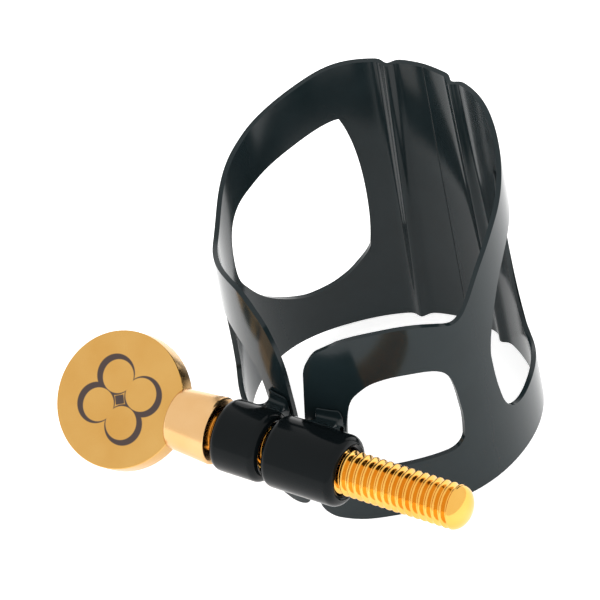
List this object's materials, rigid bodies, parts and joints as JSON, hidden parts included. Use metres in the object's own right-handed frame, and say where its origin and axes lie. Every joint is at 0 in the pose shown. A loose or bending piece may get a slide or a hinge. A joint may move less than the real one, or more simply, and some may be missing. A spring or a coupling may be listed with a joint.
{
  "type": "saxophone ligature",
  "caption": "Open sheet band with windows and a ribbed reed plate, drawn together at the front by a disc-headed thumbscrew through two barrels.",
  "frame": {"origin": "on the band's axis, level with the thumbscrew's axis", "axes": "+Z along the mouthpiece axis, +Y towards the reed plate, +X along the screw from its head to its tip"},
  "size_m": [0.0404, 0.0349, 0.0307],
  "materials": {
    "lacquer": "gloss black lacquer on brass",
    "barrel_lacquer": "gloss black lacquer on brass",
    "seam_lacquer": "gloss black lacquer over braze",
    "gold_thread": "gold plated, rolled thread",
    "gold_collar": "gold plated, turned",
    "gold_disc": "gold plated, lightly brushed"
  },
  "bodies": {
    "band_body": {"band": "lacquer", "threaded_barrel": "barrel_lacquer", "threaded_barrel_braze": "seam_lacquer"},
    "plain_side": {"plain_barrel": "barrel_lacquer", "plain_barrel_braze": "seam_lacquer"},
    "screw": {"screw_spindle": "gold_thread", "screw_collar": "gold_collar", "thumb_disc": "gold_disc"}
  },
  "joints": [
    {"name": "clamp_travel", "type": "slide", "parent": "band_body", "child": "plain_side", "axis": [-1, 0, 0], "range_m": [-0.00017, 0.0029], "deforming": ["band"]},
    {"name": "screw_turn", "type": "hinge", "parent": "plain_side", "child": "screw", "pos_m": [0, -0.01675, 0], "axis": [-1, 0, 0], "range_deg": [-90, 1500]}
  ],
  "couplings": [
    {"joint": "screw_turn", "follows": "clamp_travel", "rad_per_m": 8976}
  ]
}
